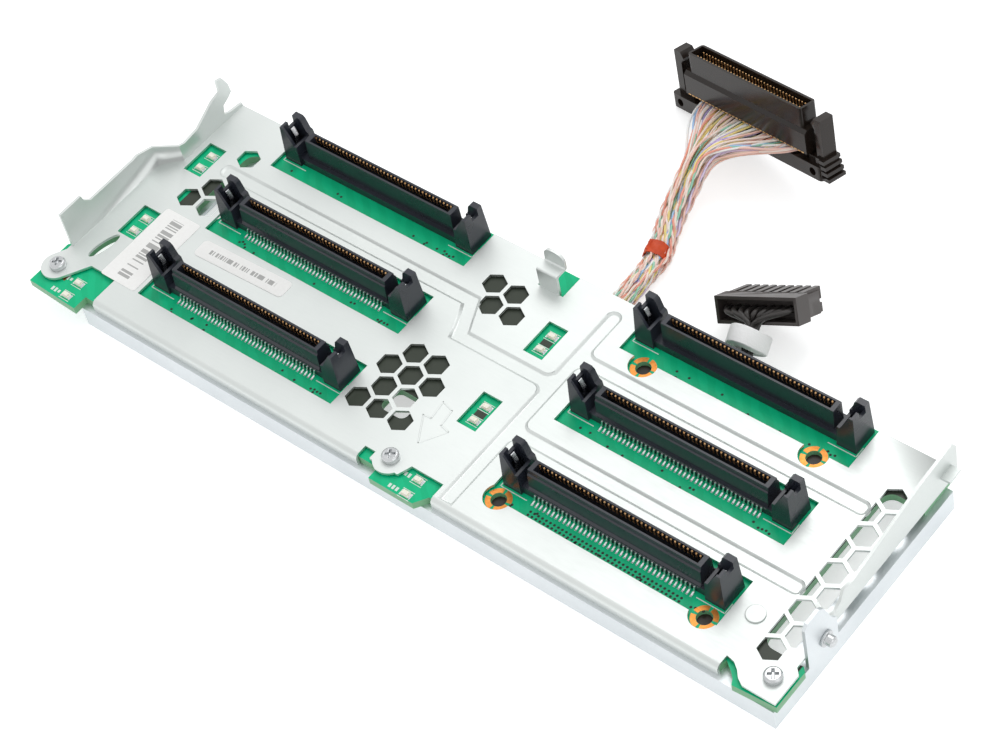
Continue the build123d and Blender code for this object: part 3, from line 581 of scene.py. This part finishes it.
# Woven white tape rolled tight round the wires: edges of its turns show
wrap_from = Vector((55.19, 45.44, 7.36))
wrap_to = Vector((53.91, 50.76, 9.82))
wrap_length = (wrap_to - wrap_from).length
turns = 5
wrap_inner, wrap_outer = 3.3, 5.7
step_above, step_below = 0.12, 0.08
wrap = bmesh.new()
profile = [wrap.verts.new((2.7, 0, -wrap_length / 2 + 0.3)), wrap.verts.new((2.9, 0, wrap_length / 2 - 0.3))]
for k in range(turns):
    reach = wrap_inner + (wrap_outer - wrap_inner) * k / (turns - 1)
    profile.append(wrap.verts.new((reach - 0.2, 0, wrap_length / 2 - 0.1 - step_above * k)))
    profile.append(wrap.verts.new((reach + 0.15, 0, wrap_length / 2 - 0.35 - step_above * k)))
for k in reversed(range(turns)):
    reach = wrap_inner + (wrap_outer - wrap_inner) * k / (turns - 1)
    profile.append(wrap.verts.new((reach + 0.1, 0, -wrap_length / 2 + 0.35 + step_below * k)))
    profile.append(wrap.verts.new((reach - 0.2, 0, -wrap_length / 2 + 0.1 + step_below * k)))
edges = [wrap.edges.new((a, b)) for a, b in zip(profile, profile[1:] + profile[:1])]
bmesh.ops.spin(wrap, geom=profile + edges, cent=(0, 0, 0), axis=(0, 0, 1), angle=2 * math.pi, steps=40,
               use_merge=True)
for v in wrap.verts:
    angle = math.atan2(v.co.y, v.co.x)
    v.co.xy = v.co.xy * (1 - 0.06 * math.cos(2 * angle + 0.7) - 0.03 * math.sin(3 * angle))
    v.co.z += 0.2 * math.sin(2 * angle)
bmesh.ops.recalc_face_normals(wrap, faces=wrap.faces)
bmesh.ops.transform(wrap, matrix=facing((wrap_from + wrap_to) / 2, wrap_to - wrap_from), verts=wrap.verts)
cotton, tree = new_tree("woven_cotton_tape")
space = add(tree, "TexCoord")
weave = add(tree, "TexVoronoi", Vector=space.outputs["Object"], Scale=1 / (0.45 * MM))
worn = add(tree, "TexNoise", Vector=space.outputs["Object"], Scale=1 / (2 * MM))
colour = add(tree, "Mix", in_colour, i0=worn.outputs["Fac"], i6=linear("FAFAF8"), i7=linear("FFFFFF"))
relief = add(tree, "Bump", Strength=0.5, Distance=0.08 * MM, Height=weave.outputs["Distance"])
skin = add(tree, "BsdfPrincipled", Base_Color=colour.outputs[2], Roughness=0.85,
           Normal=relief.outputs["Normal"])
finish_material(tree, skin)
power_wrap = piece("power_wrap_roll", wrap, [cotton], "power_wrap", slot="white_wrap", sharp=50)

# Power plug moulding, a warmer and paler grey-brown than the signal plug
warm_polyester = moulded("moulded_nylon_grey", "35302E", "4A4340", 0.34, 8.0, 0.4, 0.008)
power_plug = softened("power_plug", "power_plug_moulding", 0.2, [warm_polyester], "dark_carrier")


# Rear bracket. A shallow frame of blue-grey sheet steel with folded walls and
# one upright lug. The two sockets below the board and the cable ends are black.
def sheet_metal(name, dark, light, roughness, cloud, grain):
    """Plated sheet: its sheen drifts in clouds and fine rolling marks blur it."""
    material, tree = new_tree(name)
    space = add(tree, "TexCoord")
    long_marks = add(tree, "Mapping", Vector=space.outputs["Object"], Scale=(0.12, 1.0, 1.0))
    drift = add(tree, "TexNoise", Vector=space.outputs["Object"], Scale=1 / (cloud * MM), Detail=3.0)
    marks = add(tree, "TexNoise", Vector=long_marks.outputs[0], Scale=1 / (grain * MM), Detail=3.0)
    colour = add(tree, "Mix", in_colour, i0=drift.outputs["Fac"], i6=linear(dark), i7=linear(light))
    blur = add(tree, "MapRange", Value=marks.outputs["Fac"], To_Min=roughness - 0.08, To_Max=roughness + 0.1)
    relief = add(tree, "Bump", Strength=0.25, Distance=0.01 * MM, Height=marks.outputs["Fac"])
    skin = add(tree, "BsdfPrincipled", Base_Color=colour.outputs[2], Metallic=1.0, Roughness=blur.outputs[0],
               Normal=relief.outputs["Normal"])
    finish_material(tree, skin)
    return material


blue_steel = sheet_metal("blue_passivated_steel", "CDD3D6", "E4E8EA", 0.42, 18.0, 0.5)
softened("rear_bracket", "rear_bracket_sheet", 0.12, [blue_steel], "blue_grey_sheet")
black_polyester = moulded("moulded_black_polyester", "22242A", "30343C", 0.38, 14.0, 0.35, 0.008)
for node in ("signal_header", "power_header", "signal_board_plug", "power_board_plug"):
    housing_slot = "white_housing" if "header" in node else "brown_housing"
    softened(node, node + "_moulding", 0.15, [black_polyester], housing_slot)


# Backplane board. Glass-epoxy laminate under a glossy green solder mask, with
# a pale sawn edge. Painted shade darkens it in fields where the cover plate shades it.
column_x = [-60.0, 64.6]
row_y = [36.2, 8.7, -18.8]
pcb_top = 9.6
# Painted shade fields where the cover plate shades the board, as x from and to, then y from and to
plate_shade_areas = [
    (-23.8, 1.5, -27.5, 1.0), (-18.0, 3.5, 16.0, 31.0), (-110.0, -96.2, 0.5, 16.5), (109.0, 123.5, -33.0, 30.0),
]
plate_shade_areas += [(column_x[1] - 55.3, column_x[1] - 52.1, y - 18.5, y - 16.5) for y in row_y[:2]]

solder_mask, tree = new_tree("green_solder_mask")
space = add(tree, "TexCoord")
apart = add(tree, "SeparateXYZ", Vector=space.outputs["Object"])
# Copper below the mask shows as slightly lighter lanes about 4 mm apart
lanes = add(tree, "TexWave", {"wave_type": "BANDS", "bands_direction": "DIAGONAL"},
            Vector=space.outputs["Object"], Scale=1 / (9 * MM), Distortion=3.0, Detail=2.0)
clouds = add(tree, "TexNoise", Vector=space.outputs["Object"], Scale=1 / (7 * MM), Detail=3.0)
lane = add(tree, "MapRange", Value=lanes.outputs["Fac"], From_Min=0.35, From_Max=0.65)
copper = add(tree, "Mix", in_colour, i0=lane.outputs[0], i6=linear("02B880"), i7=linear("0CC58C"))
tone = add(tree, "Mix", in_colour, i0=clouds.outputs["Fac"], i6=copper.outputs[2], i7=linear("06C086"))
colour = tone.outputs[2]
# Painted shade: each field turns the mask a dark grey-green where the cover plate shades the board
for x0, x1, y0, y1 in plate_shade_areas:
    across = add(tree, "Math", {"operation": "COMPARE"}, i0=apart.outputs["X"],
                 i1=(x0 + x1) / 2 * MM, i2=(x1 - x0) / 2 * MM)
    along = add(tree, "Math", {"operation": "COMPARE"}, i0=apart.outputs["Y"],
                i1=(y0 + y1) / 2 * MM, i2=(y1 - y0) / 2 * MM)
    inside = add(tree, "Math", {"operation": "MULTIPLY"}, i0=across.outputs[0], i1=along.outputs[0])
    colour = add(tree, "Mix", in_colour, i0=inside.outputs[0], i6=colour, i7=linear("3E443B")).outputs[2]
facing_up = add(tree, "NewGeometry")
normal = add(tree, "SeparateXYZ", Vector=facing_up.outputs["Normal"])
upright = add(tree, "Math", {"operation": "ABSOLUTE"}, i0=normal.outputs["Z"])
sawn = add(tree, "MapRange", Value=upright.outputs[0], From_Min=0.3, From_Max=0.6, To_Min=1.0, To_Max=0.0)
colour = add(tree, "Mix", in_colour, i0=sawn.outputs[0], i6=colour, i7=linear("7FB98C")).outputs[2]
relief = add(tree, "Bump", Strength=0.1, Distance=0.02 * MM, Height=lane.outputs[0])
skin = add(tree, "BsdfPrincipled", Base_Color=colour, Roughness=0.3, IOR=1.45, Specular_IOR_Level=0.3,
           Normal=relief.outputs["Normal"])
finish_material(tree, skin)
nodes["backplane_pcb"].data.materials.clear()
nodes["backplane_pcb"].data.materials.append(solder_mask)

# Bare copper rings round the open holes, in four arcs with gaps between them
ring_holes = [(37.55, 25.7), (90.85, 25.7), (32.05, -27.2), (96.15, -27.2)]
ring_in, ring_out, ring_lift = 2.15, 3.55, 0.05
ring_arc = math.radians(74)
hole_shade_radius = 2.08
arc = bmesh.new()
corners = ((ring_in, 0), (ring_out, 0), (ring_out, ring_lift), (ring_in, ring_lift))
ends = [arc.verts.new((x, 0, z)) for x, z in corners]
ring_edges = [arc.edges.new((a, b)) for a, b in zip(ends, ends[1:] + ends[:1])]
bmesh.ops.spin(arc, geom=ends + ring_edges, cent=(0, 0, 0), axis=(0, 0, 1), angle=ring_arc, steps=9)
bmesh.ops.holes_fill(arc, edges=arc.edges[:], sides=4)
bmesh.ops.recalc_face_normals(arc, faces=arc.faces)
rings = bmesh.new()
repeat(rings, arc, [Matrix.Translation((x, y, pcb_top)) @ Matrix.Rotation(math.radians(90 * k + 10), 4, "Z")
                    for x, y in ring_holes for k in range(4)])
arc.free()
# Painted shade: a dark disc set low inside each open hole stands for the shade within it
hole_shade_disc = bmesh.new()
bmesh.ops.create_circle(hole_shade_disc, cap_ends=True, segments=32, radius=hole_shade_radius)
bmesh.ops.inset_region(hole_shade_disc, faces=hole_shade_disc.faces[:], thickness=0.5, depth=-0.5)
hole_shade_discs = bmesh.new()
repeat(hole_shade_discs, hole_shade_disc, [Matrix.Translation((x, y, pcb_top - 1.0)) for x, y in ring_holes])
hole_shade_disc.free()
hole_shade_skin = moulded("painted_hole_shade", "1E1410", "2E201A", 0.4, 2.0, 0.3, 0.004)
piece("painted_hole_shade_discs", hole_shade_discs, [hole_shade_skin], slot="brown_housing")
bare_copper = mottled("bare_copper", "C87432", "F2A95C", 0.8, 3.0, Metallic=1.0, Roughness=0.38)
piece("copper_rings", rings, [bare_copper], slot="gold_contacts")

# Bare copper strip near the left tab of the board
strip = bmesh.new()
bar(strip, (-119.4, -35.2, pcb_top), (-118.1, -30.9, pcb_top + 0.04))
piece("copper_strip", strip, [bare_copper], slot="gold_contacts")

# White legend: corner marks round each socket and short ticks beside the lamps
legend_lift = 0.03
ink_width = 0.28
corner_reach = 34.9
corner_length, corner_arm = 8.5, 3.4
tick_width, tick_pitch = 0.75, 1.2
lamp_left, lamp_front, lamp_apart = 53.7, 17.5, 2.5
legend = bmesh.new()
random.seed(11)


def mark(x0, x1, y0, y1):
    """A flat printed bar on the board between two corners."""
    bar(legend, (min(x0, x1), y0, pcb_top), (max(x0, x1), y1, pcb_top + legend_lift))


for x in column_x:
    for r, y in enumerate(row_y):
        front = y - 4.9
        for side in (-1, 1):
            corner = x + side * corner_reach
            mark(corner, corner - side * corner_length, front, front + ink_width)
            mark(corner - ink_width / 2, corner + ink_width / 2, front, front + corner_arm)
        for side in (-1, 1):
            lamp_at = (x - lamp_left, y - lamp_front + side * lamp_apart)
            for k in range(3):
                tall = random.uniform(0.9, 1.5)
                if r == 2:
                    start = lamp_at[0] - 3.4 - tick_pitch * k
                    mark(start, start + tick_width, lamp_at[1] - tall / 2, lamp_at[1] + tall / 2)
            mark(lamp_at[0] - 1.9, lamp_at[0] + 1.9, lamp_at[1] + 1.25, lamp_at[1] + 1.45)
            mark(lamp_at[0] - 1.9, lamp_at[0] + 1.9, lamp_at[1] - 1.45, lamp_at[1] - 1.25)
legend_ink = mottled("white_legend_ink", "C9DCCF", "F6FBF8", 0.6, 2.0, Roughness=0.6)
piece("board_legend", legend, [legend_ink], slot="white_paper")

# Plated holes: a double row before the right front socket, loose ones elsewhere
via_radius, via_ring = 0.4, 0.2
via_pitch = 1.1
via = bmesh.new()
bmesh.ops.create_circle(via, cap_ends=True, segments=8, radius=via_radius)
bmesh.ops.inset_region(via, faces=via.faces[:], thickness=via_ring, depth=0.0)
for face in via.faces:
    face.material_index = 1 if len(face.verts) == 8 else 0
via_places = []
for i in range(38):
    for k in range(2):
        via_places.append((column_x[1] - 23.4 + i * contact_pitch, row_y[2] - 6.9 - via_pitch * k))
for x in column_x:
    for y in row_y:
        for _ in range(9):
            via_places.append((x + random.uniform(-30, 30), y - random.uniform(6.4, 8.6)))
        for k in range(4):
            via_places.append((x + 27.0 + k * via_pitch, y - 7.4 + random.uniform(-0.4, 0.4)))
vias = bmesh.new()
repeat(vias, via, [Matrix.Translation((x, y, pcb_top + 0.02)) for x, y in via_places])
via.free()
tinned = mottled("tinned_copper", "CDD0D2", "F2F3F4", 0.5, 2.0, Metallic=1.0, Roughness=0.28)
drilled = moulded("shadowed_drilling", "10261C", "183626", 0.6, 2.0, 0.3, 0.002)
piece("plated_holes", vias, [bare_copper, drilled], slot="gold_contacts")


# Drive sockets. Glass-filled black polyester in one moulding: a long shroud on a
# plinth, with a guide post at one end and a blade at the other. Edges are rounded.
socket_polyester = moulded("moulded_socket_polyester", "1E2129", "2F333D", 0.27, 16.0, 0.3, 0.006)
contact_count = 40
tags = [(c, r, "ab"[c] + str(r + 1)) for c in range(2) for r in range(3)]
for c, r, tag in tags:
    softened(f"drive_connector_{tag}", f"drive_socket_{tag}", 0.2, [socket_polyester], "black_housing")


# Socket contacts. Forty gold-flashed leaves stand in each of two rows. Only the
# upper end of a leaf is drawn: it leans to the middle and its tip turns back.
def bent_strip(points, width, thickness):
    """A strip of metal folded along its length through (y, z) points."""
    strip = bmesh.new()
    edge = strip.edges.new([strip.verts.new((side * width / 2, *points[0])) for side in (-1, 1)])
    for a, b in zip(points, points[1:]):
        grown = bmesh.ops.extrude_edge_only(strip, edges=[edge])["geom"]
        moved = [g for g in grown if isinstance(g, bmesh.types.BMVert)]
        bmesh.ops.translate(strip, vec=(0, b[0] - a[0], b[1] - a[1]), verts=moved)
        edge = next(e for e in moved[0].link_edges if e.other_vert(moved[0]) in moved)
    bmesh.ops.solidify(strip, geom=strip.faces[:], thickness=thickness)
    bmesh.ops.recalc_face_normals(strip, faces=strip.faces)
    return strip


leaf_width = 0.46
leaf = bent_strip([(1.24, 9.0), (0.95, 8.65), (0.92, 7.3), (1.15, 6.6)], leaf_width, 0.14)
for c, r, tag in tags:
    rows = bmesh.new()
    for side in (-1, 1):
        start = column_x[c] - (contact_count - 1) / 2 * contact_pitch - side * contact_pitch / 4
        turned = Matrix.Rotation(math.pi if side < 0 else 0, 4, "Z")
        repeat(rows, leaf, [Matrix.Translation((start + i * contact_pitch, row_y[r], pcb_top)) @ turned
                            for i in range(contact_count)])
    piece(f"contact_rows_{tag}", rows, [plated_gold], f"contacts_{tag}", slot="gold_contacts")
leaf.free()

# Solder tails: gull-wing leads that step down to tinned pads in front
tail = bent_strip([(-3.1, 1.95), (-3.55, 1.9), (-4.0, 0.35), (-4.95, 0.16)], leaf_width, 0.16)
bar(tail, (-0.29, -5.4, 0.0), (0.29, -4.2, 0.06))
for c, r, tag in tags:
    if r > 0:
        row = bmesh.new()
        start = column_x[c] - (contact_count - 1) / 2 * contact_pitch + contact_pitch / 4
        repeat(row, tail, [Matrix.Translation((start + i * contact_pitch, row_y[r], pcb_top))
                           for i in range(contact_count)])
        piece(f"tail_row_{tag}", row, [tinned], f"solder_tails_{tag}", slot="tinned_leads")
tail.free()

# Earthing springs: bright bent strips in the guide posts
spring_steel = sheet_metal("bright_spring_steel", "B8BCC0", "E8EAEC", 0.24, 6.0, 0.3)
nodes["guide_springs"].data.materials.clear()
nodes["guide_springs"].data.materials.append(spring_steel)


# Status lamps. Small moulded packages with a milky lens and plated end caps,
# soldered flat on the board in pairs.
lamp_scale = 0.9
lamp = bmesh.new()
bar(lamp, (-1.35, -0.95, 0.0), (1.35, 0.95, 0.75), 0.1, 0)
bar(lamp, (-1.12, -0.78, 0.7), (1.12, 0.78, 1.15), 0.26, 0, segments=3)
bar(lamp, (-1.62, -0.8, 0.0), (-1.3, 0.8, 0.5), 0.08, 1)
bar(lamp, (1.3, -0.8, 0.0), (1.62, 0.8, 0.5), 0.08, 1)
bar(lamp, (-1.95, -1.0, 0.0), (-1.4, 1.0, 0.06), 0.0, 1)
bar(lamp, (1.4, -1.0, 0.0), (1.95, 1.0, 0.06), 0.0, 1)
bmesh.ops.scale(lamp, vec=(lamp_scale, lamp_scale, 1.0), verts=lamp.verts)
lamps = bmesh.new()
repeat(lamps, lamp, [Matrix.Translation((x - lamp_left, y - lamp_front + side * lamp_apart, pcb_top))
                     for x in column_x for y in row_y for side in (-1, 1)])
lamp.free()
milky = mottled("milky_epoxy_lens", "F4EED8", "FFFDF4", 0.9, 2.0, Roughness=0.22, IOR=1.5,
                Subsurface_Weight=0.15, Subsurface_Radius=(0.0008, 0.0007, 0.0005))
piece("status_lamp_packages", lamps, [milky, tinned], "status_lamps", slot="lamp_lens")


# Cover plate. Zinc-plated steel sheet, punched, pressed with shallow channels
# and folded up at its ends. It has a soft grey sheen, a little clouded.
satin_zinc = sheet_metal("satin_zinc_plated_steel", "CDD2D0", "E0E4E2", 0.47, 30.0, 0.6)
channel_floor = 10.45
bend_mends = [((-12.45, 18.6), (-11.88, 18.6)), ((-12.1, 10.4), (-12.85, 8.05))]
press_rise = 0.44
press_steps = [(0.3, 0.14), (0.35, 0.46), (0.25, 0.6)]
plate = bmesh.new()
plate.from_mesh(nodes["cover_plate"].data)
bmesh.ops.scale(plate, vec=(1 / MM, 1 / MM, 1 / MM), verts=plate.verts)
bmesh.ops.remove_doubles(plate, verts=plate.verts, dist=0.002)
# Two small notches at the channel's bend are straightened first
for corner, moved in bend_mends:
    for v in plate.verts:
        if v.co.z > channel_floor - 0.01 and (v.co.xy - Vector(corner)).length < 0.05:
            v.co.xy = moved
bmesh.ops.dissolve_limit(plate, angle_limit=math.radians(1), verts=plate.verts, edges=plate.edges)
floors = [f for f in plate.faces if f.normal.z > 0.9 and abs(f.calc_center_median().z - channel_floor) < 0.01]
foot_level = floors[0].calc_center_median().z + press_rise
for v in {v for f in floors for v in f.verts}:
    v.co.z = foot_level
for across, fall in press_steps:
    bmesh.ops.inset_region(plate, faces=floors, thickness=across, depth=0.0, use_boundary=True,
                           use_even_offset=True)
    for v in {v for f in floors for v in f.verts}:
        v.co.z = foot_level - fall
piece("cover_plate_sheet", plate, [satin_zinc], "cover_plate", slot="zinc_sheet", sharp=26)

# Arrow raised faintly in the plate between the columns, as a low outline
plate_top = 10.9
arrow_outline = [
    (-0.9, -17.5), (3.8, -25.2), (8.3, -18.4), (5.3, -17.7), (4.7, -12.5), (0.9, -11.5), (1.6, -17.3),
]
arrow_width = 0.5
arrow = bmesh.new()
for (x0, y0), (x1, y1) in zip(arrow_outline, arrow_outline[1:] + arrow_outline[:1]):
    start, end = Vector((x0, y0, plate_top)), Vector((x1, y1, plate_top))
    length = (end - start).length
    line = bmesh.new()
    bar(line, (-length / 2 - 0.2, -arrow_width / 2, -0.1), (length / 2 + 0.2, arrow_width / 2, 0.12), 0.1)
    angle = math.atan2(y1 - y0, x1 - x0)
    repeat(arrow, line, [Matrix.Translation((start + end) / 2) @ Matrix.Rotation(angle, 4, "Z")])
    line.free()
piece("pressed_arrow", arrow, [satin_zinc], slot="zinc_sheet")

# Screws, clinch rivet and guide stud: bright zinc over turned steel
bright_zinc = sheet_metal("bright_zinc_plated_screw", "A9ACAE", "DADCDD", 0.25, 3.0, 0.3)
softened("board_screws", "board_screw_set", 0.22, [bright_zinc], "zinc_screws")
softened("clinch_rivet", "clinch_rivet_head", 0.2, [satin_zinc], "zinc_screws")
softened("guide_stud", "guide_stud_turned", 0.15, [bright_zinc], "stud_steel")


# Labels. White paper with a thin gloss, blank but for plain grey bars, stuck on
# the plate.
def printed_paper(name, middle, across, along, bar_width, turn):
    """White paper with one strip of plain grey bars along its middle."""
    material, tree = new_tree(name)
    space = add(tree, "TexCoord")
    own = add(tree, "Mapping", {"vector_type": "TEXTURE"}, Vector=space.outputs["Object"],
              Location=Vector(middle) * MM, Rotation=(0, 0, math.radians(turn)))
    apart = add(tree, "SeparateXYZ", Vector=own.outputs[0])
    inside_x = add(tree, "Math", {"operation": "COMPARE"}, i0=apart.outputs["X"], i1=0.0, i2=across / 2 * MM)
    inside_y = add(tree, "Math", {"operation": "COMPARE"}, i0=apart.outputs["Y"], i1=0.0, i2=along / 2 * MM)
    inside = add(tree, "Math", {"operation": "MULTIPLY"}, i0=inside_x.outputs[0], i1=inside_y.outputs[0])
    long_axis = apart.outputs["Y"] if along > across else apart.outputs["X"]
    steps = add(tree, "Math", {"operation": "SNAP"}, i0=long_axis, i1=bar_width * MM)
    bars = add(tree, "TexWhiteNoise", {"noise_dimensions": "1D"}, W=steps.outputs[0])
    dark = add(tree, "Math", {"operation": "GREATER_THAN"}, i0=bars.outputs["Value"], i1=0.5)
    ink = add(tree, "Math", {"operation": "MULTIPLY"}, i0=dark.outputs[0], i1=inside.outputs[0])
    fibre = add(tree, "TexNoise", Vector=space.outputs["Object"], Scale=1 / (0.8 * MM), Detail=3.0)
    paper = add(tree, "Mix", in_colour, i0=fibre.outputs["Fac"], i6=linear("F6F5F2"), i7=linear("FFFFFD"))
    colour = add(tree, "Mix", in_colour, i0=ink.outputs[0], i6=paper.outputs[2], i7=linear("B2B2B0"))
    skin = add(tree, "BsdfPrincipled", Base_Color=colour.outputs[2], Roughness=0.5)
    finish_material(tree, skin)
    return material


for node, paper in (
    ("panel_label", printed_paper("panel_label_paper", (-103.7, -14.4, 0), 4.2, 23.0, 0.42, 0)),
    ("strip_label", printed_paper("strip_label_paper", (-76.3, -5.8, 0), 24.0, 1.5, 0.35, 2)),
):
    nodes[node].data.materials.clear()
    nodes[node].data.materials.append(paper)
